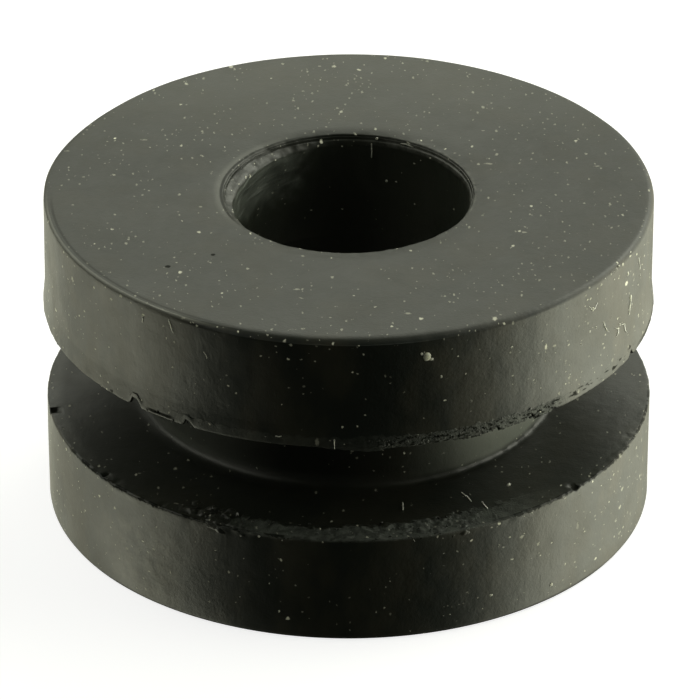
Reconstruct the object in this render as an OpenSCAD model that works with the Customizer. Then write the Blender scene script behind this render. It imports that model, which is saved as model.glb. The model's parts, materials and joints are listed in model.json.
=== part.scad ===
// Rubber grommet: a round moulded bush with a flange at each end, a groove
// between them for a panel's edge, and a through bore. It is one solid piece,
// turned from one section. The origin is the centre of the lower end face, and
// +Z runs up the bore.

/* [Flanges] */
// Outer diameter of both flanges
flange_d = 25; // [22:0.5:40]
// Thickness of each flange
flange_h = 4.75; // [3:0.05:9]
// Rounding of each flange's outer edge on its end face
edge_r = 0.25; // [0.1:0.05:1]

/* [Groove] */
// Width of the groove, which takes the panel's edge
groove_w = 4.4; // [2.5:0.1:9]
// Diameter of the neck at the bottom of the groove, which fits the panel's hole
neck_d = 16.6; // [14:0.1:18.4]
// Fillet where the neck meets each flange
root_r = 0.7; // [0.2:0.05:1.1]
// Rounding of the lower flange's edge on the groove
rim_r = 0.2; // [0.05:0.05:0.6]

/* [Bore] */
// Diameter of the bore
bore_d = 10; // [5:0.1:11]
// Step at each side of the bore out to the straight recess at its ends
mouth_step = 0.2; // [0.1:0.05:0.6]
// Depth of that recess
mouth_h = 0.25; // [0.15:0.05:1]
// Depth of the cone that leads from the recess to the bore
lead_h = 0.15; // [0.1:0.05:1]
// Rounding of the recess's edge on the end face
lip_r = 0.1; // [0.02:0.01:0.15]

/* [Mould flash] */
// How far the trimmed flash flares out past the upper flange's wall
flash_out = 0.08; // [0.02:0.01:0.3]
// Height of the flare up that wall, from the groove
flash_up = 0.8; // [0.2:0.05:2]
// How far the flash hangs into the groove
flash_down = 0.15; // [0.05:0.05:0.4]
// How far it reaches in under the flange
flash_in = 0.12; // [0.05:0.01:0.5]

/* [Hidden] */
$fn = 96;

// Overlap that keeps a cut or a fill from sharing a face with what it meets
bite = 0.05;
flange_r = flange_d / 2;
neck_r = neck_d / 2;
bore_r = bore_d / 2;
mouth_r = bore_r + mouth_step;
groove_top = flange_h + groove_w;
body_h = groove_top + flange_h;

// What is cut from a square corner at the origin, with the material below and
// to the left of it, to leave an arc of radius r
module corner_cut(r) {
    translate([-r, -r]) difference() {
        square(r + bite);
        circle(r = r);
    }
}

// What fills a square hollow corner at the origin, open above and to the
// right, with an arc of radius r
module corner_fill(r) {
    difference() {
        translate([-bite, -bite]) square(r + bite);
        translate([r, r]) circle(r = r);
    }
}

// Repeats a shape of the lower end at the upper end
module both_ends() {
    children();
    translate([0, body_h]) mirror([0, 1]) children();
}

// The solid wall round the bore, before the cuts
module blank() {
    translate([bore_r, 0]) square([flange_r - bore_r, body_h]);
}

// The groove, with a fillet in each of its two inner corners
module groove() {
    translate([neck_r, flange_h]) difference() {
        square([flange_r - neck_r + bite, groove_w]);
        corner_fill(root_r);
        translate([0, groove_w]) mirror([0, 1]) corner_fill(root_r);
    }
}

// The lower end of the bore: a recess, then a cone that leads to the bore
module mouth() {
    polygon([
        [bore_r - bite, -bite],
        [mouth_r, -bite],
        [mouth_r, mouth_h],
        [bore_r, mouth_h + lead_h],
        [bore_r - bite, mouth_h + lead_h]
    ]);
    translate([mouth_r, 0]) rotate(180) corner_cut(lip_r);
}

// The rounded outer edge of the lower end face
module outer_edge() {
    translate([flange_r, 0]) mirror([0, 1]) corner_cut(edge_r);
}

// The rounded edge of the lower flange on the groove
module groove_rim() {
    translate([flange_r, flange_h]) corner_cut(rim_r);
}

// Trimmed flash round the upper flange's rim, where the mould's parts met: the
// wall flares out to it, and its lip hangs into the groove
module flash() {
    lip_z = groove_top - flash_down;
    polygon([
        [flange_r - flash_in, lip_z],
        [flange_r + flash_out, lip_z],
        [flange_r + flash_out, groove_top],
        [flange_r, groove_top + flash_up],
        [flange_r - flash_in, groove_top + flash_up]
    ]);
}

module grommet() {
    color([0.13, 0.13, 0.11]) rotate_extrude() {
        difference() {
            blank();
            groove();
            groove_rim();
            both_ends() {
                mouth();
                outer_edge();
            }
        }
        flash();
    }
}

grommet();
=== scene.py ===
# %% [markdown]
# A moulded rubber grommet
#
# The real thing is one piece of black rubber: two thick flanges, a groove
# between them that grips the edge of a panel, and a hole through the middle.
# It came out of its mould with a little flash round the rims of the groove,
# it was trimmed by hand, and it has picked up pale dust since.
#
# The solid from the CAD frame has the true sizes. Here it is dressed: a skin
# of the same shape with the small unevenness of a real moulding, the torn
# flash, the dust, and the studio that it stands in.

# %% Load the frame
import json
import math
import random

import bpy
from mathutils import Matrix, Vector


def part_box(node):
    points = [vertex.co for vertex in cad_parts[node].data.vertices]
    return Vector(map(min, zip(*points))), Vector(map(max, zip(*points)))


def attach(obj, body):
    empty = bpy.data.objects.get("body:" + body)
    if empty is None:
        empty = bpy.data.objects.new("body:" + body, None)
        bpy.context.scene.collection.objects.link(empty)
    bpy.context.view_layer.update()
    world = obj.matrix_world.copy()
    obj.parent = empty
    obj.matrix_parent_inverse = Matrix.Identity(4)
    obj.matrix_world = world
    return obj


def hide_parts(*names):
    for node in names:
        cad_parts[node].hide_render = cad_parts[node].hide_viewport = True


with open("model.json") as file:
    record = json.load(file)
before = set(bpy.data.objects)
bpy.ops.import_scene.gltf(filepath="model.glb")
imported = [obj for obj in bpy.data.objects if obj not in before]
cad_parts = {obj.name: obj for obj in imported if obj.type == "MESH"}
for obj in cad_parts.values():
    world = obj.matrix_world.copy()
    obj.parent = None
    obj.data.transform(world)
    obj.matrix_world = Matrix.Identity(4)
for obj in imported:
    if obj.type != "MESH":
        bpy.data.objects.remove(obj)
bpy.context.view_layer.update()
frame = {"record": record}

# %% [markdown]
# Sizes
#
# Blender works in metres and this part is the size of a thumb, so all sizes
# are written in millimetres and turned into metres by one factor. What the
# frame knows is read from it: the height from the part's box, the bore and
# the neck from its mounts. The rest are the moulding's own small sizes.

# %% Sizes of the moulding
MM = 0.001
mounts = {mount["name"]: mount for mount in frame["record"]["mounts"]}
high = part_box("grommet")[1]

body_h = high[2] / MM
bore_r = mounts["bore"]["dims"]["r_mm"]
bore_wall = mounts["bore"]["dims"]["length_mm"]
neck_r = mounts["groove"]["pos_m"][0] / MM

flash_out = 0.08
flash_up = 0.8
flash_down = 0.15
flange_r = high[0] / MM - flash_out
flange_h = 4.75
groove_top = body_h - flange_h
edge_r = 0.25
root_r = 0.7
taper = 0.1
lip_r = 0.1
mouth_step = 0.2
mouth_r = bore_r + mouth_step
mouth_h = 0.25
mouth_end = (body_h - bore_wall) / 2
print("height", round(body_h, 2), "flange radius", round(flange_r, 2), "neck radius", round(neck_r, 2))

# %% [markdown]
# The camera
#
# From close by, the two rims would look like ellipses of different shapes. A
# long lens from thirty centimetres keeps them nearly alike. The camera looks
# down at about thirty degrees, which shows the top face, the bore and the
# inside of the groove, and a small shift of the lens centres the part.

# %% Camera
camera_elevation = math.radians(29.33)
camera_distance = 24.02 * flange_r * MM
look_at = Vector((0, 0, body_h / 2 * MM))
away = Vector((0, -math.cos(camera_elevation), math.sin(camera_elevation)))

camera_data = bpy.data.cameras.new("camera")
camera_data.sensor_width = 36
camera_data.lens = 372.8
camera_data.shift_x = 0.0021
camera_data.shift_y = -0.0153
camera_data.clip_start = 0.01
camera_data.clip_end = 10
camera = bpy.data.objects.new("camera", camera_data)
camera.location = look_at + away * camera_distance
camera.rotation_euler = (math.pi / 2 - camera_elevation, 0, 0)
bpy.context.collection.objects.link(camera)
bpy.context.scene.camera = camera
print("camera", round(camera_distance, 3), "m away")

# %% [markdown]
# The section
#
# The grommet is the same all round, so it could be cut from a cylinder, but
# the honest way is the one that its mould was made in: draw half the section
# and turn it. A plane is merged into one point, and the point is extruded
# from corner to corner. Each corner is then bevelled round, and the straight
# stretches are divided, finely near the rims, where detail will be wanted.

# %% Tools for selecting
WELD = 0.0005 * MM


def deselect():
    """Leaves edit mode and deselects everything."""
    if bpy.context.object and bpy.context.object.mode != "OBJECT":
        bpy.ops.object.mode_set(mode="OBJECT")
    bpy.ops.object.select_all(action="DESELECT")


def take(obj):
    """Makes obj the only selected object."""
    deselect()
    bpy.context.view_layer.objects.active = obj
    obj.select_set(True)


def select_in(obj, points=(), edges=()):
    """In edit mode, leaves only these vertices or edges of obj selected."""
    bpy.ops.object.mode_set(mode="EDIT")
    bpy.ops.mesh.select_all(action="DESELECT")
    bpy.ops.object.mode_set(mode="OBJECT")
    for index in points:
        obj.data.vertices[index].select = True
    for index in edges:
        obj.data.edges[index].select = True
    bpy.ops.object.mode_set(mode="EDIT")


# %% Drawing a section
def place(radius, height):
    """A point of the section, in metres."""
    return Vector((radius * MM, 0, height * MM))


def draw_section(name, corners):
    """A closed loop of edges through the corners (radius, height, rounding, steps, spacing)."""
    deselect()
    start = corners[0]
    bpy.ops.mesh.primitive_plane_add(size=MM, location=place(start[0], start[1]))
    obj = bpy.context.object
    obj.name = name
    bpy.ops.object.transform_apply(location=True, rotation=True, scale=True)
    bpy.ops.object.mode_set(mode="EDIT")
    bpy.ops.mesh.merge(type="CENTER")
    for here, there in zip(corners, corners[1:] + corners[:1]):
        step = place(there[0], there[1]) - place(here[0], here[1])
        bpy.ops.mesh.extrude_region_move(TRANSFORM_OT_translate={"value": step})
    bpy.ops.mesh.select_all(action="SELECT")
    bpy.ops.mesh.remove_doubles(threshold=WELD)
    for radius, height, rounding, steps, _ in corners:
        if rounding:
            bpy.ops.object.mode_set(mode="OBJECT")
            at = place(radius, height)
            found = [v.index for v in obj.data.vertices if (v.co - at).length < 2 * WELD]
            select_in(obj, points=found)
            bpy.ops.mesh.bevel(offset=rounding * MM, segments=steps, affect="VERTICES", profile=0.5)
    bpy.ops.object.mode_set(mode="OBJECT")
    return obj


def divide_stretches(obj, corners):
    """Divides each straight stretch into edges of about its spacing."""
    for here, there in zip(corners, corners[1:] + corners[:1]):
        a, b = place(here[0], here[1]), place(there[0], there[1])
        along = (b - a).normalized()
        room = (b - a).length - (here[2] + there[2]) * MM
        cuts = round(room / (here[4] * MM)) - 1
        if cuts < 1:
            continue
        first, last = a + along * here[2] * MM, b - along * there[2] * MM
        for edge in obj.data.edges:
            ends = [obj.data.vertices[index].co for index in edge.vertices]
            if all(min((end - first).length, (end - last).length) < 4 * WELD for end in ends):
                select_in(obj, edges=[edge.index])
                bpy.ops.mesh.subdivide(number_cuts=cuts)
                bpy.ops.object.mode_set(mode="OBJECT")
                break


# %% Turning a section
def turn(obj, sides):
    """Turns the section about the Z axis into a closed body."""
    take(obj)
    bpy.ops.object.modifier_add(type="SCREW")
    screw = obj.modifiers[-1]
    screw.axis = "Z"
    screw.angle = math.tau
    screw.screw_offset = 0
    screw.steps = sides
    screw.render_steps = sides
    screw.use_merge_vertices = True
    screw.merge_threshold = WELD
    bpy.ops.object.modifier_apply(modifier=screw.name)
    bpy.ops.object.mode_set(mode="EDIT")
    bpy.ops.mesh.select_all(action="SELECT")
    bpy.ops.mesh.remove_doubles(threshold=WELD)
    bpy.ops.mesh.normals_make_consistent(inside=False)
    bpy.ops.object.mode_set(mode="OBJECT")
    print(obj.name, "has", len(obj.data.vertices), "points and", len(obj.data.polygons), "faces")


def turned_body(name, corners, sides):
    """Draws, divides and turns a section."""
    obj = draw_section(name, corners)
    divide_stretches(obj, corners)
    turn(obj, sides)
    return obj


# %% [markdown]
# The skin
#
# The skin is the whole moulding, inside and out. Its corners go up the lower
# flange, round the root of the neck and out along the upper flange's
# underside, over the ridge of flash, up to the top face, and down through the
# stepped mouth and the bore. It takes the place of the CAD solid, and stays
# under two hundred thousand triangles: the rings are close together only
# where a rim is torn or a highlight bends.

# %% Draw and turn the skin
# Each corner: radius, height, rounding, steps in the rounding, spacing of the
# rings on the stretch that follows.
SKIN_SIDES = 600
skin = turned_body(
    "grommet_skin",
    [
        (flange_r, 0, edge_r, 4, 0.9),
        (flange_r, flange_h - 0.8, 0, 0, 0.11),
        (flange_r, flange_h, 0.07, 3, 0.11),
        (flange_r - 0.8, flange_h, 0, 0, 0.45),
        (neck_r + taper, flange_h, root_r, 13, 0.75),
        (neck_r - taper, groove_top, root_r, 5, 0.8),
        (flange_r - 0.25, groove_top, 0, 0, 0.1),
        (flange_r - 0.05, groove_top - flash_down, 0.03, 2, 0.07),
        (flange_r + flash_out, groove_top - flash_down + 0.05, 0.03, 2, 0.07),
        (flange_r + flash_out, groove_top, 0, 0, 0.1),
        (flange_r, groove_top + flash_up, 0, 0, 0.8),
        (flange_r, body_h, edge_r, 8, 0.07),
        (flange_r - 0.75, body_h, 0, 0, 0.8),
        (mouth_r + 0.65, body_h, 0.2, 3, 0.1),
        (mouth_r - 0.05, body_h - 0.06, 0.03, 3, 0.05),
        (mouth_r - 0.08, body_h - 0.14, 0, 0, 0.05),
        (mouth_r - 0.11, body_h - 0.15, 0, 0, 0.05),
        (mouth_r - 0.14, body_h - mouth_h, 0, 0, 0.05),
        (bore_r, body_h - mouth_h - 0.03, 0.02, 2, 0.08),
        (bore_r - 0.05, body_h - mouth_h - 0.22, 0.05, 3, 0.18),
        (bore_r - 0.05, body_h - 3.4, 0, 0, 1.0),
        (bore_r, mouth_end, 0.05, 2, 0.15),
        (mouth_r, mouth_h, 0, 0, 0.1),
        (mouth_r, 0, lip_r, 3, 1.2),
    ],
    SKIN_SIDES,
)

# %% [markdown]
# Unevenness
#
# A turned body is too perfect. Rubber shrinks unevenly as it cools, and its
# reflections waver. Sculpting could do that, but a Displace modifier with a
# soft cloud texture is easier to repeat: it moves the skin by a few
# hundredths of a millimetre. Vertex groups keep each texture to the places
# that it belongs to, and a rule of radius, height and angle from the front
# says where those are.


# %% Tools for rules
def ramp(value, start, end):
    """0 at start, 1 at end and smooth between; start may be above end."""
    t = min(max((value - start) / (end - start), 0), 1)
    return t * t * (3 - 2 * t)


def hump(value, middle, half_width):
    """1 at the middle, smoothly down to 0 at half_width from it."""
    return ramp(abs(value - middle), half_width, 0)


def around(angle, stops):
    """The share at an angle, straight between stops of (angle, share)."""
    for (a, share_a), (b, share_b) in zip(stops, stops[1:]):
        if a <= angle <= b:
            return share_a + (share_b - share_a) * (angle - a) / (b - a)
    return stops[0][1]


# %% Tools for uneven surfaces
def weigh(obj, name, rule):
    """A vertex group weighted by a rule of radius, height and angle from the front."""
    group = obj.vertex_groups.new(name=name)
    for vertex in obj.data.vertices:
        x, y, z = vertex.co
        weight = rule(math.hypot(x, y) / MM, z / MM, math.degrees(math.atan2(x, -y)))
        if weight > 0:
            group.add((vertex.index,), min(weight, 1), "REPLACE")


def push(obj, strength, group="", direction="NORMAL", texture=None):
    """Moves obj's surface by strength millimetres, times a texture where one is given."""
    take(obj)
    bpy.ops.object.modifier_add(type="DISPLACE")
    displace = obj.modifiers[-1]
    displace.texture = texture
    displace.texture_coords = "LOCAL"
    displace.direction = direction
    displace.strength = strength * MM
    displace.mid_level = 0.5 if texture else 0
    displace.vertex_group = group
    bpy.ops.object.modifier_apply(modifier=displace.name)
    print("moved", obj.name, "by", round(strength, 3), "mm where it is", group or "anything")


def cloud(size, depth=2, contrast=1.0):
    """Soft lumps of about this size in millimetres."""
    texture = bpy.data.textures.new("cloud", "CLOUDS")
    texture.noise_scale = size * MM
    texture.noise_depth = depth
    texture.contrast = contrast
    return texture


def beads(size):
    """Round beads of about this size in millimetres, packed side by side."""
    texture = bpy.data.textures.new("beads", "VORONOI")
    texture.noise_scale = size * MM
    texture.noise_intensity = 1.2
    return texture


# %% The whole skin
# All but the face that it stands on, which stays flat.
weigh(skin, "off_base", lambda radius, height, angle: ramp(height, 0, 0.5))
push(skin, 0.05, "off_base", texture=cloud(5.0, depth=0))
push(skin, 0.012, "off_base", texture=cloud(1.6, depth=1))
print("the skin is", round(skin.dimensions.x / MM, 2), "by", round(skin.dimensions.z / MM, 2), "mm")

# %% [markdown]
# The wall of the bore and the shoulder
#
# The bore's wall was wiped while it was hot. On the left a thin shelf of
# rubber was dragged inward under the mouth, with lumps below it. The top face
# falls away a little before its rounded edge, most of all at the front, where
# the edge has a wide soft highlight.

# %% Shelf and lumps
weigh(
    skin,
    "shelf",
    lambda radius, height, angle: ramp(radius, bore_r + 0.03, bore_r - 0.02)
    * ramp(height, body_h - 1.6, body_h - 0.55)
    * ramp(height, body_h - 0.25, body_h - 0.5)
    * hump(angle, -112, 75),
)
push(skin, 0.32, "shelf")
weigh(
    skin,
    "lumps",
    lambda radius, height, angle: ramp(radius, bore_r + 0.03, bore_r - 0.02)
    * ramp(height, body_h - 3.7, body_h - 2.6)
    * ramp(height, body_h - 0.5, body_h - 1.0)
    * hump(angle, -128, 60),
)
push(skin, 0.3, "lumps", texture=cloud(1.5, depth=1))

# %% Shoulder
weigh(
    skin,
    "shoulder",
    lambda radius, height, angle: min(max(radius - flange_r + 0.5, 0) / 0.4, 1) ** 2
    * ramp(height, body_h - edge_r, body_h - 0.5 * edge_r)
    * (0.15 + 0.85 * hump(angle, 0, 50)),
)
push(skin, -0.085, "shoulder", direction="Z")

# %% Bore and mouth
weigh(
    skin,
    "bore",
    lambda radius, height, angle: ramp(radius, bore_r + 0.1, bore_r - 0.02)
    * (0.4 + 0.6 * max(ramp(angle, 0, -60), ramp(angle, 145, 180))),
)
push(skin, 0.16, "bore", texture=cloud(1.1))
weigh(
    skin,
    "mouth",
    lambda radius, height, angle: ramp(radius, bore_r + 0.5, bore_r + 0.2)
    * ramp(height, body_h - 1, body_h - 0.6),
)
push(skin, 0.06, "mouth", texture=cloud(0.6))

# %% [markdown]
# Torn rims
#
# The rims of the groove were trimmed by hand. They are nearly clean on the
# left and at the back, and badly torn from the front round to the right. One
# list for each rim says how torn it is at each angle, so that the skin and
# the flash are torn in the same places.

# %% How torn the rims are
upper_tears = [
    (-180, 0.2), (-95, 0.3), (-47, 0.35), (-36, 0.15), (-15, 0.12), (5, 0.3),
    (12, 0.8), (38, 1.0), (46, 0.35), (80, 0.3), (110, 0.2), (180, 0.2),
]
lower_tears = [
    (-180, 0.2), (-75, 0.25), (-58, 0.3), (-54, 0.8), (-46, 0.8), (-42, 0.2), (-32, 0.25),
    (-28, 0.8), (-10, 0.4), (28, 0.3), (34, 0.5), (76, 0.5), (110, 0.2), (180, 0.2),
]
weigh(
    skin,
    "rims",
    lambda radius, height, angle: ramp(radius, flange_r - 0.5, flange_r - 0.2)
    * max(
        ramp(abs(height - flange_h), 0.4, 0.1) * around(angle, lower_tears),
        ramp(abs(height - groove_top), 0.4, 0.1) * around(angle, upper_tears),
    ),
)
push(skin, 0.14, "rims", texture=cloud(0.4, depth=3))
print("most torn:", max(share for _, share in upper_tears + lower_tears))

# %% [markdown]
# Sharper corners on one side
#
# The root of the neck is filled less on the right than on the left, so its
# highlight is thin there, and the top edge is crisp on the left. A rounding
# is made sharper by moving its middle out to where the smaller rounding would
# be, and the share of that move fades towards the rounding's ends.


# %% Sharpen the root and the top edge
def corner_shift(old_r, new_r):
    """How far the middle of a rounding moves when it is made sharper."""
    return (old_r - new_r) * (math.sqrt(2) - 1)


def sharper(across, up, old_r, new_r):
    """The share of that shift at a point this far from the rounding's centre."""
    if min(across, up) <= 0:
        return 0
    room = old_r * (math.hypot(across, up) / max(across, up) - 1)
    return min(room / corner_shift(old_r, new_r), 1)


sharp_root = 0.2
weigh(
    skin,
    "root",
    lambda radius, height, angle: sharper(
        neck_r + taper + root_r - radius, flange_h + root_r - height, root_r, sharp_root
    )
    * (0.25 + 0.75 * ramp(angle, -5, 25) * ramp(angle, 180, 140)),
)
push(skin, -corner_shift(root_r, sharp_root), "root")
push(skin, 0.10, "root", texture=cloud(1.3))

sharp_edge = 0.1
weigh(
    skin,
    "edge",
    lambda radius, height, angle: sharper(
        radius - flange_r + edge_r, height - body_h + edge_r, edge_r, sharp_edge
    )
    * ramp(angle, -22, -38)
    * ramp(angle, -120, -95),
)
push(skin, corner_shift(edge_r, sharp_edge), "edge")
print("the root moves", round(corner_shift(root_r, sharp_root), 3), "mm and the edge",
      round(corner_shift(edge_r, sharp_edge), 3), "mm")

# %% [markdown]
# Notches
#
# A few small bites are missing from each rim. They could be cut with a
# boolean, but the skin has points enough there, so each bite pushes the rim
# away along Z. The same rules bite the flash later on.

# %% Notches in the rims
# Each notch: degrees from the front, depth, half its width in degrees.
upper_notches = [
    (-43, 1.0, 1.7), (-30.7, 0.8, 1.1), (28, 0.5, 0.7), (35.5, 0.7, 1.0), (41, 0.4, 0.7), (66, 0.8, 0.9),
]
lower_notches = [
    (-80.5, 0.6, 1.2), (-53.5, 0.3, 0.6), (-50, 0.2, 0.6), (-38, 0.2, 0.5), (47.7, 0.45, 0.6),
    (70, 0.2, 0.6),
]


def notch(angle, notches):
    """The depth of the deepest notch at an angle."""
    return max(depth * min(1.8 * hump(angle, at, half_width), 1) for at, depth, half_width in notches)


def upper_bite(radius, height, angle):
    """How much of the upper rim is bitten off here."""
    near_rim = ramp(height, groove_top + 0.35, groove_top + 0.1)
    return near_rim * ramp(radius, flange_r - 0.4, flange_r - 0.2) * notch(angle, upper_notches)


def lower_bite(radius, height, angle):
    """How much of the lower rim is bitten off here."""
    near_rim = ramp(height, flange_h - 0.35, flange_h - 0.1)
    return near_rim * ramp(radius, flange_r - 0.5, flange_r - 0.25) * notch(angle, lower_notches)


weigh(skin, "upper bites", lambda r, h, a: upper_bite(r, h, a) if h > groove_top - 1 else 0)
push(skin, 0.35, "upper bites", direction="Z")
weigh(skin, "lower bites", lambda r, h, a: lower_bite(r, h, a) if h < flange_h + 1 else 0)
push(skin, -0.3, "lower bites", direction="Z")
print(len(upper_notches), "notches above,", len(lower_notches), "below")

# %% [markdown]
# The flash
#
# Where the parts of the mould met, rubber crept into the gap and left a fin,
# which was torn and trimmed off. What stays is a ragged band at the upper
# flange's rim, from the front round to the right, and a crust along the lower
# one's. Each is a thin ring of its own with more than twice as many sides as
# the skin, sunk a little into it, so that the tears can be a twentieth of a
# millimetre across. Where a rim is clean, its ring sinks into the skin out of
# sight.

# %% Draw and turn the band on the upper rim
FLASH_SIDES = 1500
band = turned_body(
    "upper_flash",
    [
        (flange_r - 0.02, groove_top + 0.50, 0, 0, 0.06),
        (flange_r + 0.11, groove_top + 0.12, 0.02, 2, 0.06),
        (flange_r + 0.10, groove_top - 0.05, 0, 0, 0.06),
        (flange_r + 0.04, groove_top - 0.20, 0.02, 2, 0.06),
        (flange_r - 0.10, groove_top - 0.18, 0, 0, 0.3),
        (flange_r - 0.14, groove_top + 0.50, 0, 0, 0.2),
    ],
    FLASH_SIDES,
)

# %% Sink, tear and crack the band
band_share = [
    (-180, 0), (-46, 0), (-40, 0.6), (-29, 0.6), (-26, 0.5), (-10, 0.6), (4, 0.8),
    (36, 0.8), (46, 0.15), (60, 0), (180, 0),
]
weigh(band, "sunk", lambda radius, height, angle: 1 - around(angle, band_share))
push(band, -0.16, "sunk")
weigh(
    band,
    "lip",
    lambda radius, height, angle: ramp(height, groove_top + 0.05, groove_top - 0.15)
    * (0.3 + 0.7 * around(angle, upper_tears)),
)
push(band, 0.4, "lip", direction="Z", texture=cloud(0.9))
weigh(
    band,
    "face",
    lambda radius, height, angle: ramp(radius, flange_r - 0.02, flange_r + 0.02) * around(angle, upper_tears),
)
push(band, 0.15, "face", texture=cloud(0.35, depth=3))
push(band, -0.07, "face", texture=beads(0.14))
weigh(
    band,
    "sag",
    lambda radius, height, angle: ramp(height, groove_top + 0.1, groove_top - 0.1) * hump(angle, 3, 9),
)
push(band, -0.12, "sag", direction="Z")
weigh(band, "bites", upper_bite)
push(band, 0.4, "bites", direction="Z")
weigh(
    band,
    "crack",
    lambda radius, height, angle: ramp(radius, flange_r - 0.05, flange_r)
    * hump(height, groove_top + 0.16, 0.09)
    * hump(angle, -36.5, 4.5),
)
push(band, -0.16, "crack")
print("the band stands out up to", max(share for _, share in band_share), "of its height")

# %% Draw and turn the crust on the lower rim
crust = turned_body(
    "lower_flash",
    [
        (flange_r - 0.06, flange_h - 0.45, 0, 0, 0.07),
        (flange_r - 0.02, flange_h - 0.2, 0.03, 2, 0.07),
        (flange_r - 0.14, flange_h + 0.02, 0.03, 2, 0.07),
        (flange_r - 1.0, flange_h + 0.05, 0, 0, 0.07),
        (flange_r - 1.4, flange_h - 0.03, 0, 0, 0.3),
        (flange_r - 1.0, flange_h - 0.2, 0, 0, 0.3),
        (flange_r - 0.3, flange_h - 0.45, 0, 0, 0.3),
    ],
    FLASH_SIDES,
)

# %% Sink, tear and gouge the crust
crust_share = [
    (-180, 0), (-37, 0), (-34, 0.8), (-24, 1), (-19, 0.7), (-10, 0.8),
    (22, 0.9), (36, 0.2), (60, 0), (180, 0),
]
weigh(crust, "sunk", lambda radius, height, angle: 1 - around(angle, crust_share))
push(crust, -0.12, "sunk")
weigh(
    crust,
    "torn",
    lambda radius, height, angle: ramp(height, flange_h - 0.42, flange_h - 0.3)
    * ramp(radius, flange_r - 1.4, flange_r - 1.1)
    * around(angle, crust_share),
)
push(crust, 0.12, "torn", texture=cloud(0.5, contrast=2.5))
push(crust, 0.07, "torn", texture=cloud(0.2, depth=3))
weigh(
    crust,
    "gouges",
    lambda radius, height, angle: ramp(height, flange_h - 0.3, flange_h - 0.1)
    * ramp(radius, flange_r - 1.4, flange_r - 1.1)
    * ramp(radius, flange_r - 0.1, flange_r - 0.4)
    * hump(angle, -26, 10),
)
push(crust, 0.24, "gouges", texture=cloud(0.4, contrast=2.5))
weigh(crust, "bites", lower_bite)
push(crust, -0.3, "bites", direction="Z")
print("the crust stands out up to", max(share for _, share in crust_share), "of its height")

# %% [markdown]
# Nubs, crumbs and fibres
#
# Torn rubber curls up into nubs along both rims of the groove. Crumbs of
# chalk and short fibres cling to the part, as they do to any rubber that was
# kept loose in a box. They are all small and many, so each nub or crumb is a
# ball of forty faces and each fibre a bent stick of six sides, and each kind
# is one piece. The places go by the angle from the front, the radius and the
# height.


# %% Tools for small bits
def spot_at(angle, radius, height):
    """A point at an angle from the front, in metres."""
    at = math.radians(angle)
    return Vector((radius * math.sin(at), -radius * math.cos(at), height)) * MM


def empty_piece(name):
    """An empty piece, in edit mode and ready for shapes."""
    obj = bpy.data.objects.new(name, bpy.data.meshes.new(name))
    bpy.context.collection.objects.link(obj)
    take(obj)
    bpy.ops.object.mode_set(mode="EDIT")
    return obj


def add_ball(angle, radius, height, size, squash=(1, 1, 1)):
    """A small ball; the squash is across the radius, along it and upward."""
    bpy.ops.mesh.primitive_uv_sphere_add(
        segments=8,
        ring_count=5,
        radius=size * MM,
        location=spot_at(angle, radius, height),
        rotation=(0, 0, math.radians(angle)),
        scale=squash,
    )


def add_fibre(places, thickness):
    """A bent stick through places of (angle, radius, height)."""
    points = [spot_at(*at) for at in places]
    aim = (points[1] - points[0]).to_track_quat("Z", "Y").to_euler()
    bpy.ops.mesh.primitive_circle_add(
        vertices=6, radius=thickness / 2 * MM, fill_type="NGON", location=points[0], rotation=aim
    )
    for here, there in zip(points, points[1:]):
        bpy.ops.mesh.extrude_region_move(TRANSFORM_OT_translate={"value": there - here})


def end_piece(obj):
    """Closes a piece of small bits and roughens it."""
    bpy.ops.mesh.select_all(action="SELECT")
    bpy.ops.mesh.normals_make_consistent(inside=False)
    bpy.ops.object.mode_set(mode="OBJECT")
    push(obj, 0.04, texture=cloud(0.07))
    print(obj.name, "has", len(obj.data.polygons), "faces")


# %% Nubs along the rims
# Each stretch: first and last angle, how many, radius, height, spread, size.
nub_stretches = [
    (-76, -47, 9, 12.50, 9.10, 0.03, 0.09),
    (-42, -31, 8, 12.55, 9.20, 0.10, 0.06),
    (-25, 4, 10, 12.56, 9.25, 0.14, 0.03),
    (4, 26, 80, 12.58, 9.22, 0.16, 0.04),
    (24, 42, 55, 12.54, 9.20, 0.12, 0.05),
    (42, 64, 14, 12.50, 9.08, 0.03, 0.04),
    (-64, -27, 26, 12.42, 4.67, 0.04, 0.04),
    (-30, 26, 50, 11.90, 4.77, 0.01, 0.045),
    (28, 80, 46, 12.42, 4.67, 0.04, 0.04),
]
chance = random.Random(4)
nubs = empty_piece("rim_nubs")
for first, last, count, radius, height, spread, size in nub_stretches:
    for _ in range(count):
        add_ball(
            chance.uniform(first, last),
            radius + chance.uniform(-0.03, 0.02) + (chance.uniform(-0.6, 0.45) if radius < 12 else 0),
            height + chance.uniform(-spread, spread),
            size * chance.uniform(0.5, 1.3),
            (chance.uniform(0.7, 1.6), 1, chance.uniform(0.6, 1.3)),
        )
end_piece(nubs)

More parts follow.
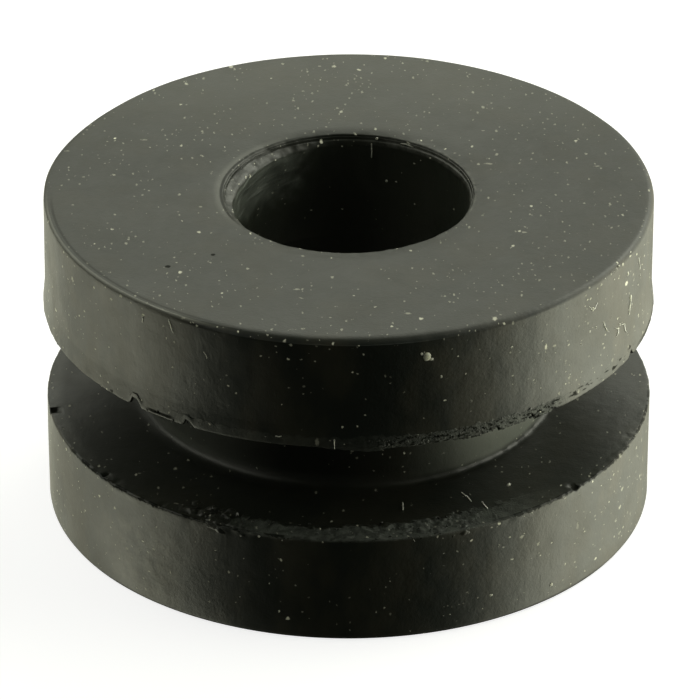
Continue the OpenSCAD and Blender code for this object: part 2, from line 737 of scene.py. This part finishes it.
# %% Crumbs
# Each crumb: angle, radius, height, size.
crumb_places = [
    (14.4, 12.5, 12.97, 0.16), (15.2, 12.5, 12.83, 0.09), (13.4, 12.5, 13.12, 0.06),
    (17.1, 12.5, 11.95, 0.07), (45.3, 12.5, 10.29, 0.06), (38.3, 10.50, 4.78, 0.10),
    (-77, 12.45, 13.78, 0.07), (-75.5, 12.46, 13.72, 0.05), (-74, 12.47, 13.66, 0.05),
    (166.6, 5.10, 13.72, 0.08), (150.6, 5.13, 13.70, 0.06), (131, 5.12, 13.72, 0.05),
    (161.3, 4.93, 11.9, 0.05), (156.2, 4.93, 11.94, 0.04), (66, 12.5, 11.75, 0.11),
    (64.5, 12.5, 13.0, 0.09), (51.6, 12.5, 12.66, 0.08), (71.4, 12.5, 12.2, 0.06),
    (70, 12.5, 11.9, 0.06), (58.8, 12.5, 13.35, 0.05), (57.5, 12.5, 13.72, 0.05),
    (60.6, 12.5, 13.78, 0.06), (55.5, 12.5, 13.72, 0.04), (52.8, 12.5, 11.75, 0.05),
    (50.9, 12.5, 11.75, 0.05), (57.6, 12.5, 11.75, 0.04), (48.4, 12.5, 11.4, 0.05),
    (61.4, 12.5, 11.0, 0.06), (66.8, 12.5, 11.35, 0.05), (54.4, 12.5, 10.3, 0.04),
    (31.3, 12.5, 12.6, 0.05), (-16.7, 12.5, 4.6, 0.05), (-12.3, 12.5, 4.56, 0.06),
    (30, 12.5, 3.4, 0.04), (57, 12.5, 2.9, 0.07), (41.4, 12.5, 0.75, 0.07),
    (27.5, 12.5, 1.3, 0.06), (59, 12.5, 4.0, 0.04), (-38, 12.5, 2.9, 0.05),
    (-20.5, 12.5, 1.6, 0.05), (-2.9, 8.49, 4.78, 0.05), (-42, 12.5, 3.4, 0.05),
]
crumbs = empty_piece("crumbs")
for angle_at, radius, height, size in crumb_places:
    squash = (chance.uniform(0.6, 1.2), 0.35, chance.uniform(0.6, 1.2))
    add_ball(angle_at, radius - 0.01, height, size * 1.2, squash)
end_piece(crumbs)

# %% Fibres
# Each fibre: its thickness, then places of (angle, radius, height).
fibre_places = [
    (0.05, (-34.9, 12.50, 13.62), (-34.5, 12.51, 13.4), (-33.9, 12.50, 13.05)),
    (0.05, (-41.2, 12.50, 13.35), (-41.0, 12.51, 13.2), (-41.1, 12.50, 13.02)),
    (0.04, (-27.4, 12.50, 12.62), (-26.9, 12.51, 12.5), (-26.7, 12.50, 12.35)),
    (0.05, (-16.5, 8.75, 4.77), (-15.9, 8.2, 4.80), (-15.1, 7.55, 4.9)),
    (0.05, (-2.9, 8.55, 4.77), (-2.4, 8.25, 4.79), (-2.1, 8.0, 4.83)),
    (0.04, (10.9, 12.40, 4.74), (11.9, 12.48, 4.7), (12.3, 12.5, 4.5)),
    (0.05, (-13.4, 12.53, 9.4), (-12.9, 12.56, 9.38), (-12.2, 12.54, 9.42)),
    (0.035, (-2.6, 12.55, 9.42), (-2.6, 12.57, 9.2), (-2.5, 12.55, 8.98)),
    (0.05, (168.9, 4.97, 13.55), (168.7, 4.92, 13.2), (168.8, 4.93, 12.9)),
    (0.05, (156, 5.1, 13.68), (152, 5.07, 13.72), (148, 5.08, 13.66)),
    (0.05, (50.4, 12.50, 12.95), (51.2, 12.51, 12.72), (52.2, 12.51, 12.66), (53.0, 12.50, 12.85)),
    (0.045, (55.2, 12.50, 11.75), (55.6, 12.51, 11.5), (56.6, 12.50, 11.2), (57.2, 12.50, 11.1)),
    (0.04, (62.0, 12.50, 10.95), (63.4, 12.51, 10.8), (63.6, 12.51, 10.5), (64.4, 12.50, 10.3)),
    (0.04, (59.6, 12.50, 11.0), (60.6, 12.51, 10.9), (60.8, 12.51, 10.7), (60.0, 12.50, 10.6)),
    (0.045, (70.0, 12.50, 13.15), (70.6, 12.51, 12.8), (71.0, 12.50, 12.5)),
    (0.05, (66.5, 12.50, 11.75), (65.6, 12.51, 11.4), (65.4, 12.50, 11.0)),
    (0.04, (57, 12.47, 13.72), (58.4, 12.49, 13.68), (59.6, 12.47, 13.74), (60.8, 12.48, 13.7)),
    (0.04, (12.9, 9.8, 4.76), (12.6, 10.1, 4.77), (12.2, 10.4, 4.76)),
    (0.04, (27.6, 9.9, 4.76), (27.8, 10.3, 4.77), (27.7, 10.7, 4.76)),
    (0.04, (29.6, 10.9, 4.76), (29.3, 11.2, 4.77), (29.2, 11.5, 4.76)),
]
fibres = empty_piece("fibres")
for thickness, *places in fibre_places:
    add_fibre(places, thickness)
end_piece(fibres)

# %% Smooth the pieces
pieces = (skin, band, crust, nubs, crumbs, fibres)
for piece in pieces:
    take(piece)
    bpy.ops.object.shade_smooth_by_angle(angle=math.radians(40))
    piece.vertex_groups.clear()
print("smoothed", [piece.name for piece in pieces])

# %% [markdown]
# Shader maths
#
# A material is a small calculation that runs at every point of a surface.
# Written with nodes alone it is hard to read, so one class wraps a socket and
# lets Python's own signs add the Math nodes.


# %% A wire that can do sums
class Wire:
    """An output socket of a node. Sums on it add Math nodes to its tree."""

    def __init__(self, tree, socket=None):
        self.tree = tree
        self.socket = socket

    def node(self, kind, settings=None, inputs=None, outlet=0):
        """Adds a node: its type, its settings, then the values or wires of its sockets."""
        made = self.tree.nodes.new("ShaderNode" + kind)
        for name, value in (settings or {}).items():
            setattr(made, name, value)
        for name, value in (inputs or {}).items():
            if isinstance(value, Wire):
                self.tree.links.new(value.socket, made.inputs[name])
            else:
                made.inputs[name].default_value = value
        return Wire(self.tree, made.outputs[outlet])

    def math(self, operation, *values):
        return self.node("Math", {"operation": operation}, dict(enumerate(values)))

    def __add__(self, other):
        return self.math("ADD", self, other)

    def __radd__(self, other):
        return self.math("ADD", other, self)

    def __sub__(self, other):
        return self.math("SUBTRACT", self, other)

    def __rsub__(self, other):
        return self.math("SUBTRACT", other, self)

    def __mul__(self, other):
        return self.math("MULTIPLY", self, other)

    def __rmul__(self, other):
        return self.math("MULTIPLY", other, self)

    def __truediv__(self, other):
        return self.math("DIVIDE", self, other)

    def __abs__(self):
        return self.math("ABSOLUTE", self)

    def smooth(self, start, end):
        """0 at start, 1 at end, smooth between."""
        settings = {"interpolation_type": "SMOOTHSTEP"}
        if start < end:
            return self.node("MapRange", settings, {0: self, 1: start, 2: end})
        return self.node("MapRange", settings, {0: self, 1: end, 2: start, 3: 1.0, 4: 0.0})

    def between(self, start, full, fade, end):
        """1 from full to fade, and smoothly down to 0 at start and at end."""
        return self.smooth(start, full) * self.smooth(end, fade)

    def colours(self, dark, pale):
        """A colour between two, by this mask."""
        return self.node("Mix", {"data_type": "RGBA"}, {0: self, 6: dark, 7: pale}, outlet=2)


def split(vector):
    """The three parts of a vector."""
    node = vector.node("SeparateXYZ", inputs={0: vector}).socket.node
    return (Wire(vector.tree, node.outputs[i]) for i in range(3))


def any_of(*masks):
    """The largest of the masks."""
    result = masks[0]
    for mask in masks[1:]:
        result = result.math("MAXIMUM", result, mask)
    return result


# %% [markdown]
# The rubber
#
# Black rubber is dark but not even. Its gloss is soft and patchy, the walls
# have a brownish bloom where the mould was greased, fine streaks run up them
# from the trimming, and pale dust sticks to all of it. The patterns read
# Object coordinates, scaled to millimetres, so they are the same size on
# every piece. Most of them belong to one place, so the places come first: the
# radius, the height and the angle from the front at each point, and masks
# that are 1 on the walls, in the bore, in the groove or on the top.

# %% Coordinates on the rubber
rubber = bpy.data.materials.new("dusty rubber")
rubber.use_nodes = True
tree = rubber.node_tree
shader = tree.nodes["Principled BSDF"]
wire = Wire(tree)


def spot(offset=(0, 0, 0), scale=(1, 1, 1)):
    """Object coordinates in millimetres, moved and stretched."""
    metres = wire.node("TexCoord", outlet=3)
    factor = tuple(part / MM for part in scale)
    return wire.node("VectorMath", {"operation": "MULTIPLY_ADD"}, {0: metres, 1: factor, 2: offset})


def noise(size, detail=2.0, roughness=0.5, offset=(0, 0, 0), stretch=(1, 1, 1)):
    """A noise between 0 and 1 whose lumps are about size millimetres across."""
    inputs = {"Vector": spot(offset, stretch), "Scale": 1 / size, "Detail": detail, "Roughness": roughness}
    return wire.node("TexNoise", inputs=inputs)


x_mm, y_mm, z_mm = split(spot())
radius_mm = wire.math("SQRT", x_mm * x_mm + y_mm * y_mm)
angle = wire.math("ARCTAN2", x_mm, 0 - y_mm) * math.degrees(1)
print(len(tree.nodes), "nodes for the coordinates")

# %% Places on the rubber
wall = radius_mm.smooth(flange_r - 0.15, flange_r - 0.05)
near_wall = radius_mm.smooth(flange_r - 0.12, flange_r - 0.06)
in_bore = radius_mm.smooth(bore_r + 0.1, bore_r) * z_mm.smooth(body_h - 0.4, body_h - 0.6)
in_groove = radius_mm.smooth(flange_r - 0.3, flange_r - 0.8)
in_groove = in_groove * z_mm.between(flange_h - 0.1, flange_h, groove_top, groove_top + 0.1)
on_top = z_mm.smooth(body_h - 0.3, body_h - 0.1)
near_top = z_mm.smooth(body_h - 0.4, body_h - 0.2)
front = abs(angle).smooth(60, 30)
around_back = abs(angle).smooth(90, 130)
print(len(tree.nodes), "nodes for the places")

# %% [markdown]
# Dust
#
# The dust is thousands of grains, most of them under a tenth of a millimetre.
# Modelled, they would be heavier than the part, so they are a Voronoi
# pattern: each cell may hold one grain, and the cell's own random colour says
# whether it does, how big it is and how bright. A crowd mask gathers the
# grains in clusters, thins them in the bore, in the groove and on the near
# wall, and lines the top edge with them.

# %% Where the dust gathers
crowd = 0.35 + 1.3 * noise(2.4, 2.0).smooth(0.38, 0.62)
crowd = crowd * (1.15 - wall * 0.1) * (1 - 0.65 * wall * front) * (1 - 0.85 * in_bore) * (1 - 0.7 * in_groove)
crowd = crowd + 0.4 * wall * angle.between(25, 50, 140, 175)
crowd = crowd + 1.2 * radius_mm.smooth(flange_r - 0.25, flange_r - 0.05) * near_top
print(len(tree.nodes), "nodes with the dust's crowding")

# %% Grains of dust
stir = wire.node("TexNoise", inputs={"Vector": spot(), "Scale": 9.0, "Detail": 1.0}, outlet=1)


def specks(spacing, size, share, seed, stretch=(1, 1, 1)):
    """A mask of grains, at most one in each cell of the spacing; few of them are bright."""
    at = spot((seed, seed * 1.7, seed * 2.3), stretch)
    at = wire.node("VectorMath", {"operation": "MULTIPLY_ADD"}, {0: stir, 1: (0.12, 0.12, 0.12), 2: at})
    cell = wire.node("TexVoronoi", inputs={"Vector": at, "Scale": 1 / spacing}).socket.node
    pick, big, bright = split(Wire(tree, cell.outputs[1]))
    grain = (Wire(tree, cell.outputs[0]) * spacing / (size * (0.4 + 0.6 * big))).smooth(1.0, 0.5)
    return grain * wire.math("LESS_THAN", pick, crowd * share) * (0.2 + 0.8 * bright * bright)


dust = any_of(
    specks(0.27, 0.06, 0.8, 1.0, (1, 0.6, 1)) * 0.9,
    specks(0.42, 0.08, 0.4, 4.0, (1, 0.6, 1)) * 1.3,
    specks(0.9, 0.12, 0.45, 7.0, (1, 0.7, 1)) * 1.7,
    specks(0.7, 0.10, 0.2, 11.0, (1, 1, 0.45)),
    specks(0.7, 0.10, 0.2, 15.0, (0.45, 1, 1)),
)
print(len(tree.nodes), "nodes with the dust")

# %% [markdown]
# Torn patches
# Torn patches, and painted light on the lower rim
#
# Torn rubber is paler and rougher than moulded rubber. Along the lower rim
# the tear is a band that widens to the right, and along the upper rim it is
# the foot of the wall. The lower band is also painted light: it is paler
# where light reaches the outer top of the lower flange past the upper one.
# A noise added to the radius, the height or the angle before it is compared
# makes the border ragged.

# %% Where the rubber is torn, and where the lower rim is lit
edge_noise = noise(0.45, 3.0) - 0.5
lower_torn_and_lit = radius_mm + edge_noise * 1.4 + angle.smooth(-5, 22) * 0.25
lower_torn_and_lit = lower_torn_and_lit.smooth(flange_r - 0.95, flange_r - 0.8)
lower_torn_and_lit = lower_torn_and_lit * z_mm.between(flange_h - 0.16, flange_h - 0.04, flange_h + 0.3, flange_h + 0.5)
lower_torn_and_lit = lower_torn_and_lit * (angle + edge_noise * 12).smooth(-30, -12) * angle.smooth(48, 22)
upper_torn = radius_mm.smooth(flange_r - 0.3, flange_r - 0.2)
upper_torn = upper_torn * z_mm.smooth(groove_top - 0.5, groove_top - 0.4)
upper_torn = upper_torn * (z_mm + edge_noise * 0.5).smooth(groove_top + 0.38, groove_top + 0.30)
upper_torn = upper_torn * angle.between(-42, -28, 38, 48)
# Torn rubber; along the lower rim its paleness is also painted light.
torn = any_of(lower_torn_and_lit, upper_torn * (angle.smooth(0, 15) * 0.5 + 0.3))
print(len(tree.nodes), "nodes with the tears")

# %% [markdown]
# Slits, pits and creases
#
# Some places stay dark because no light gets in: slits and pits in the upper
# rim, the crack on its left, the undercut line of the lower rim and a crease
# beside the top edge. They are finer than the mesh, so they are masks, which
# later swap the rubber for plain black. The ragged ones come from one noise
# on the unrolled wall, stretched to slits or left round for pits.

# %% Slits and pits in the upper rim
along = wire.node("CombineXYZ", inputs={0: angle * math.radians(flange_r), 1: z_mm, 2: 0.0})
fray = noise(0.15, 2.0) - 0.5


def patches(wide, tall, share, seed):
    """A mask of ragged patches on the walls, wide and tall in millimetres."""
    scale = (1 / wide, 1 / tall, 1)
    at = wire.node("VectorMath", {"operation": "MULTIPLY_ADD"}, {0: along, 1: scale, 2: (seed, 0, 0)})
    lumps = wire.node("TexNoise", inputs={"Vector": at, "Scale": 1.0, "Detail": 2.0})
    return lumps.smooth(share, share + 0.06)


slits = near_wall * (z_mm + fray * 0.1).smooth(groove_top + 0.04, groove_top + 0.10)
slits = slits * z_mm.smooth(groove_top + 0.38, groove_top + 0.30)
slits = slits * angle.between(38, 42, 64, 69) * patches(0.45, 0.13, 0.54, 2.0)
pits = near_wall * z_mm.between(groove_top - 0.25, groove_top - 0.15, groove_top + 0.25, groove_top + 0.42)
pits = pits * angle.between(-2, 12, 40, 45) * patches(0.22, 0.12, 0.53, 5.0)
crack = near_wall * (z_mm + fray * 0.1).smooth(groove_top - 0.06, groove_top - 0.01)
crack = crack * z_mm.smooth(groove_top + 0.13, groove_top + 0.08) * angle.between(-41, -39, -35, -33)
right_edge = near_wall * (z_mm + fray * 0.15).smooth(groove_top + 0.12, groove_top + 0.05)
right_edge = right_edge * z_mm.smooth(groove_top - 0.5, groove_top - 0.3) * angle.between(66, 74, 120, 160)
print(len(tree.nodes), "nodes with the slits and pits")

# %% The lower rim and the top edge
lower_rim = near_wall * (z_mm + fray * 0.3).smooth(flange_h - 0.11, flange_h - 0.07)
lower_rim = lower_rim * z_mm.smooth(flange_h + 0.5, flange_h + 0.3)
right_rim = angle.between(20, 34, 84, 96) * (0.25 + 0.45 * patches(0.3, 0.3, 0.44, 8.0))
left_rim = angle.between(-70, -62, -12, -6) * (0.2 + 0.8 * patches(0.4, 0.2, 0.48, 9.0))
front_rim = angle.between(-10, 0, 26, 34) * patches(0.3, 0.12, 0.60, 11.0) * 0.7
undercut = lower_rim * any_of(right_rim, left_rim * 0.8, front_rim)
# Painted highlight and painted shade along the top edge on the left: a pale line on the edge and a dark
# crease beside it.
top_edge = z_mm.smooth(body_h - 0.4, body_h - 0.3) * angle.between(-92, -80, -32, -18)
crease = top_edge * abs(radius_mm - flange_r + 0.33).smooth(0.08, 0.02)
painted_edge_highlight = top_edge * radius_mm.smooth(flange_r - 0.19, flange_r - 0.14)
painted_edge_highlight = painted_edge_highlight * z_mm.smooth(body_h - 0.14, body_h - 0.08)
rubbed = wall * (angle + edge_noise * 8).smooth(-53, -47) * angle.smooth(-31, -37)
rubbed = rubbed * z_mm.between(0.2, 0.8, 3.0, 4.0) * noise(0.5, 3.0, 0.6, (2, 2, 2)).smooth(0.38, 0.62)
print(len(tree.nodes), "nodes with the edges")

# %% [markdown]
# Marks, painted shade and a painted highlight round the mouth
#
# The top face has two small dark marks on the left. Round the mouth of the
# bore the moulding is sharper on the left, which is painted as a dark line
# of shade with a paler ring of painted highlight outside it, and its recess
# has mottled painted shade. At the back the lip rolls over into shade,
# which is painted.


# %% Marks on the top, and painted shade and highlight round the mouth
def mark(x, y, half_width):
    """A dark mark on the top face."""
    off = wire.math("SQRT", (x_mm - x) * (x_mm - x) + (y_mm - y) * (y_mm - y)) + fray * half_width
    return off.smooth(half_width, half_width * 0.6) * near_top


marks = any_of(mark(-7.25, -6.44, 0.14), mark(-5.46, -5.44, 0.11))
# Painted shade: a dark line round the mouth on the left.
mouth_shade_line = abs(radius_mm - mouth_r - 0.02).smooth(0.09, 0.03)
mouth_shade_line = mouth_shade_line * near_top * angle.between(-175, -160, -70, -50)
# Painted shade, mottled, in the recess of the mouth on the left.
recess_shade = radius_mm.smooth(mouth_r + 0.02, mouth_r - 0.06) * z_mm.smooth(body_h - 0.5, body_h - 0.4)
recess_shade = recess_shade * angle.between(-175, -150, -75, -50) * noise(0.5, 3.0, 0.6, (1, 3, 5)).smooth(0.3, 0.7)
# Painted shade over the lip at the back of the mouth.
behind = radius_mm.smooth(mouth_r + 0.6, mouth_r) * on_top
behind = behind * any_of(angle.smooth(146, 166), angle.smooth(-140, -162))
# Painted highlight: a paler ring outside the mouth on the left.
painted_highlight_ring = radius_mm.between(mouth_r + 0.05, mouth_r + 0.12, mouth_r + 0.15, mouth_r + 0.42)
painted_highlight_ring = painted_highlight_ring * on_top * angle.between(-160, -125, -80, -50)
pale_lip = radius_mm.smooth(mouth_r + 0.08, mouth_r + 0.02) * z_mm.smooth(body_h - 0.46, body_h - 0.38)
pale_lip = pale_lip * angle.between(50, 75, 160, 178) * noise(0.35, 3.0, 0.6, (1, 3, 5)).smooth(0.3, 0.65)
# Painted shade: the groove is darkened far on the left.
groove_shade_left = in_groove * angle.between(-178, -150, -75, -50)

# Where these masks reach, the rubber is swapped for plain black: painted shade, and the two dark marks on the
# top.
shade = {
    "line round the mouth": mouth_shade_line * 0.5,
    "recess of the mouth": recess_shade * 0.4,
    "lip at the back": behind * 0.4,
    "left of the groove": groove_shade_left * 0.25,
    "slits": slits * 0.85,
    "pits": pits * 0.8,
    "crack": crack * 0.9,
    "upper rim on the right": right_edge * 0.6,
    "undercut of the lower rim": undercut,
    "crease at the top edge": crease * 0.3,
    "marks on the top": marks * 0.8,
}
dark = any_of(*shade.values())
print(len(shade), "kinds of dark place")

# %% [markdown]
# Colour
#
# The rubber itself is a green black with browner blotches. Thin coats go over
# it, each by its own mask: brown bloom on the walls, painted shade in the
# groove, a grey film in the bore, painted light on the neck, most on its
# right, a paler tone towards the back of the top, pale scuffs where the bore
# was wiped with painted light on its upper left, the torn rubber with painted
# light along the lower rim, a rubbed patch low on the left, and the dust on
# top of them all.

# %% Masks for the coats
blotch = noise(3.0, 4.0, 0.6, stretch=(1, 1, 0.45)).smooth(0.42, 0.64)
blotch = 0.45 + (blotch - 0.45) * (0.4 + 0.6 * wall * (1 - around_back))
bloom = wall * (1 - front) * noise(2.0, 3.0, 0.55, (3, 5, 7), (1, 1, 0.7)).smooth(0.42, 0.62)
# Painted light: a pale coat on the neck where light falls on it, most of all on the right.
on_neck = z_mm.between(flange_h + 0.1, flange_h + 0.4, groove_top - 0.3, groove_top)
on_neck = on_neck * radius_mm.between(neck_r - 1, neck_r - 0.5, neck_r + 0.3, neck_r + 0.5)
neck_light_share = any_of(angle.smooth(10, 50) * (0.9 - 0.4 * angle.smooth(140, 180)), angle.smooth(-15, -50) * 0.4)
# Scuffs where the bore was wiped; their pale colour is also painted light where light falls on the bore's
# upper left wall.
scuffs_and_painted_light = in_bore * (angle + edge_noise * 30).smooth(-165, -140) * angle.smooth(-85, -100)
scuffs_and_painted_light = scuffs_and_painted_light * (z_mm + edge_noise * 1.5).smooth(body_h - 3.1, body_h - 1.3)
torn_colour = noise(0.35, 3.0, 0.6).smooth(0.3, 0.7)
torn_colour = torn_colour.colours((0.025, 0.029, 0.024, 1), (0.075, 0.084, 0.072, 1))
print(len(tree.nodes), "nodes with the coats' masks")

# %% Coats of colour
coats = {
    "bloom on the walls": (bloom * (0.8 - 0.5 * around_back), (0.042, 0.036, 0.020, 1)),
    # Painted shade: the groove between the flanges is darkened.
    "soot in the groove": (in_groove * (1 - front * 0.3) * 0.35, (0.002, 0.003, 0.002, 1)),
    "film in the bore": (in_bore * 0.6, (0.030, 0.034, 0.026, 1)),
    "film on the neck": (on_neck * neck_light_share, (0.16, 0.172, 0.145, 1)),
    # The top is paler towards the back.
    "film on the top": (y_mm.smooth(2, 12) * on_top * 0.05, (0.75, 0.75, 0.66, 1)),
    "ring outside the mouth": (painted_highlight_ring * 0.7, (0.09, 0.093, 0.08, 1)),
    "recess on the right": (pale_lip * 0.7, (0.085, 0.088, 0.075, 1)),
    "burr on the top edge": (painted_edge_highlight, (0.095, 0.097, 0.08, 1)),
    "scuffs in the bore": (scuffs_and_painted_light, (0.11, 0.122, 0.105, 1)),
    "torn rubber": (torn, torn_colour),
    "rubbed patch": (rubbed * 0.5, (0.085, 0.082, 0.06, 1)),
    "dust": (dust, (0.92, 0.91, 0.75, 1)),
}
base = blotch.colours((0.009, 0.0125, 0.0095, 1), (0.026, 0.0255, 0.0165, 1))
for mask, colour in coats.values():
    base = mask.colours(base, colour)
tree.links.new(base.socket, shader.inputs["Base Color"])
print(len(coats), "coats of colour")

# %% [markdown]
# Gloss and grain
#
# Moulded rubber has a soft gloss that changes over a few millimetres, and it
# is duller where it is torn, wiped or dusty. The grain is a bump: a fine one
# for the mould's surface, two slow ones for its waviness, streaks on the
# walls, a coarse one on the tears, and slanting scores where the bore was
# wiped. The painted shade and the dark marks are a Mix Shader with a black
# that doesn't shine.

# %% Gloss
rough = 0.28 + noise(2.6, 4.0, 0.6) * 0.10 + noise(1.2, 2.0) * 0.08 + noise(0.2, 2.0) * 0.06
rough = rough + blotch * 0.05 + torn * 0.2 + dust * 0.4 + scuffs_and_painted_light * 0.15
tree.links.new(rough.socket, shader.inputs["Roughness"])
shader.inputs["IOR"].default_value = 1.5
print(len(tree.nodes), "nodes with the gloss")

# %% Grain
streak = noise(0.25, 3.0, 0.6, stretch=(1, 1, 0.07))
slant = wire.node("CombineXYZ", inputs={0: angle * 0.03, 1: (z_mm + angle * 0.02) * 3.0, 2: 0.0})
scores = wire.node("TexNoise", inputs={"Vector": slant, "Scale": 1.0, "Detail": 3.0})
relief = noise(0.13, 3.0, 0.65) * 0.014 + noise(0.6, 3.0) * 0.02 + noise(1.4, 2.0) * 0.05
relief = relief + wall * streak * 0.005 + torn * noise(0.09, 3.0, 0.7) * 0.06 + rubbed * 0.006
relief = relief + scuffs_and_painted_light * scores.smooth(0.45, 0.7) * 0.10
bump = wire.node("Bump", inputs={"Height": relief, "Distance": MM, "Strength": 0.6})
tree.links.new(bump.socket, shader.inputs["Normal"])
print(len(tree.nodes), "nodes with the grain")

# %% Painted shade and dark marks
black = wire.node("BsdfDiffuse", inputs={"Color": (0.004, 0.005, 0.003, 1)})
surface = wire.node("MixShader", inputs={0: dark, 1: Wire(tree, shader.outputs[0]), 2: black})
tree.links.new(surface.socket, tree.nodes["Material Output"].inputs["Surface"])
print(len(tree.nodes), "nodes in the rubber")

# %% [markdown]
# Chalk and lint
#
# Crumbs and fibres are so thin that light passes through them, and they look
# as pale on the shaded side as on the lit one. Subsurface scattering over a
# fifth of a millimetre gives them that flat look.

# %% Chalk and lint
chalk = bpy.data.materials.new("chalk and lint")
chalk.use_nodes = True
chalk_settings = {
    "Base Color": (0.62, 0.62, 0.50, 1),
    "Roughness": 0.7,
    "Subsurface Weight": 1.0,
    "Subsurface Radius": (1, 1, 1),
    "Subsurface Scale": 0.2 * MM,
}
for name, value in chalk_settings.items():
    chalk.node_tree.nodes["Principled BSDF"].inputs[name].default_value = value
print("chalk has", len(chalk_settings), "settings")

# %% Hand the pieces over
finishes = {skin: rubber, band: rubber, crust: rubber, nubs: rubber, crumbs: chalk, fibres: chalk}
for piece, finish in finishes.items():
    piece.data.materials.clear()
    piece.data.materials.append(finish)
    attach(piece, "root")
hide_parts("grommet")
print(len(finishes), "pieces ride on the body")

# %% [markdown]
# The floor
#
# The part stands on a plain white sheet. To the camera the sheet is white
# wherever no shadow falls, because most of its brightness is its own, and the
# rest, which the part can shade, is added on top.

# %% Floor
deselect()
bpy.ops.mesh.primitive_plane_add(size=2)
floor = bpy.context.object
floor.name = "floor"
floor_material = bpy.data.materials.new("white sheet")
floor_material.use_nodes = True
tree = floor_material.node_tree
tree.nodes.clear()
wire = Wire(tree)
glow = wire.node("Emission", inputs={"Color": (1, 1, 1, 1), "Strength": 0.8})
paper = wire.node("BsdfDiffuse", inputs={"Color": (0.5, 0.5, 0.5, 1)})
sheet = wire.node("AddShader", inputs={0: glow, 1: paper})
output = tree.nodes.new("ShaderNodeOutputMaterial")
tree.links.new(sheet.socket, output.inputs["Surface"])
floor.data.materials.append(floor_material)
floor.visible_glossy = False
floor.visible_diffuse = False
print("floor", floor.dimensions.x, "m wide")

# %% [markdown]
# The light
#
# A soft studio: a bright sweep behind the part, softboxes above and high on
# both sides with the right ones stronger, and low ones that stand for the
# light that the sheet throws back up. There is nothing in front, so that the
# near wall stays black. The world makes it all, as a brightness for each
# direction, and the camera itself sees plain white.

# %% World
world = bpy.data.worlds.new("studio")
bpy.context.scene.world = world
world.use_nodes = True
tree = world.node_tree
tree.nodes.clear()
wire = Wire(tree)
dx, dy, dz = split(wire.node("TexCoord", outlet=0))
bearing = wire.math("ARCTAN2", dx, 0 - dy) * math.degrees(1)
rise = wire.math("ARCSINE", dz) * math.degrees(1)


def softbox(at_bearing, half_width, low_rise, high_rise, soft_side, soft_end, strength):
    """A soft patch of light; bearings from the front, rises above the horizon, in degrees."""
    off = abs(wire.math("WRAP", bearing - at_bearing, 180.0, -180.0))
    across = off.smooth(half_width + soft_side, half_width - soft_side)
    up = rise.smooth(low_rise - soft_end, low_rise + soft_end)
    down = rise.smooth(high_rise + soft_end, high_rise - soft_end)
    return across * up * down * strength


print("world", world.name)


# %% Softboxes
softboxes = {
    "above on the right": (116.5, 41, 5, 61, 19, 11, 2.33),
    "behind": (179, 27, 23, 42, 21, 9, 2.3),
    "above on the left": (-107, 47, 19, 50, 22, 7, 1.35),
    "low on the right": (90, 16, -61, 10, 16, 6, 2.85),
    "low behind on the right": (109, 42, -37, 2, 22, 13, 2.7),
    "low on the left": (-92, 24, -60, -16, 9, 7, 2.3),
    "low behind on the left": (-154, 33, -35, 0, 18, 11, 1.45),
    "level on the right": (91, 30, 2, 27, 14, 10, 0.45),
    "high on the right": (134, 24, 30, 48, 12, 8, 3.0),
    "high on the left": (-128, 25, 45, 60, 12, 6, 0.8),
}
fill = 0.025
light = sum(softbox(*box) for box in softboxes.values()) + fill
tint = rise.smooth(-10, 15).colours((1.0, 1.01, 0.80, 1), (0.99, 1.01, 0.86, 1))
studio = wire.node("Background", inputs={"Color": tint, "Strength": light})
white = wire.node("Background", inputs={"Color": (1, 1, 1, 1), "Strength": 1.0})
seen = wire.node("LightPath", outlet=0)
sight = wire.node("MixShader", inputs={0: seen, 1: studio, 2: white})
output = tree.nodes.new("ShaderNodeOutputWorld")
tree.links.new(sight.socket, output.inputs["Surface"])
print(len(softboxes), "softboxes")

# %% Finish
bpy.context.scene.view_settings.view_transform = "Standard"
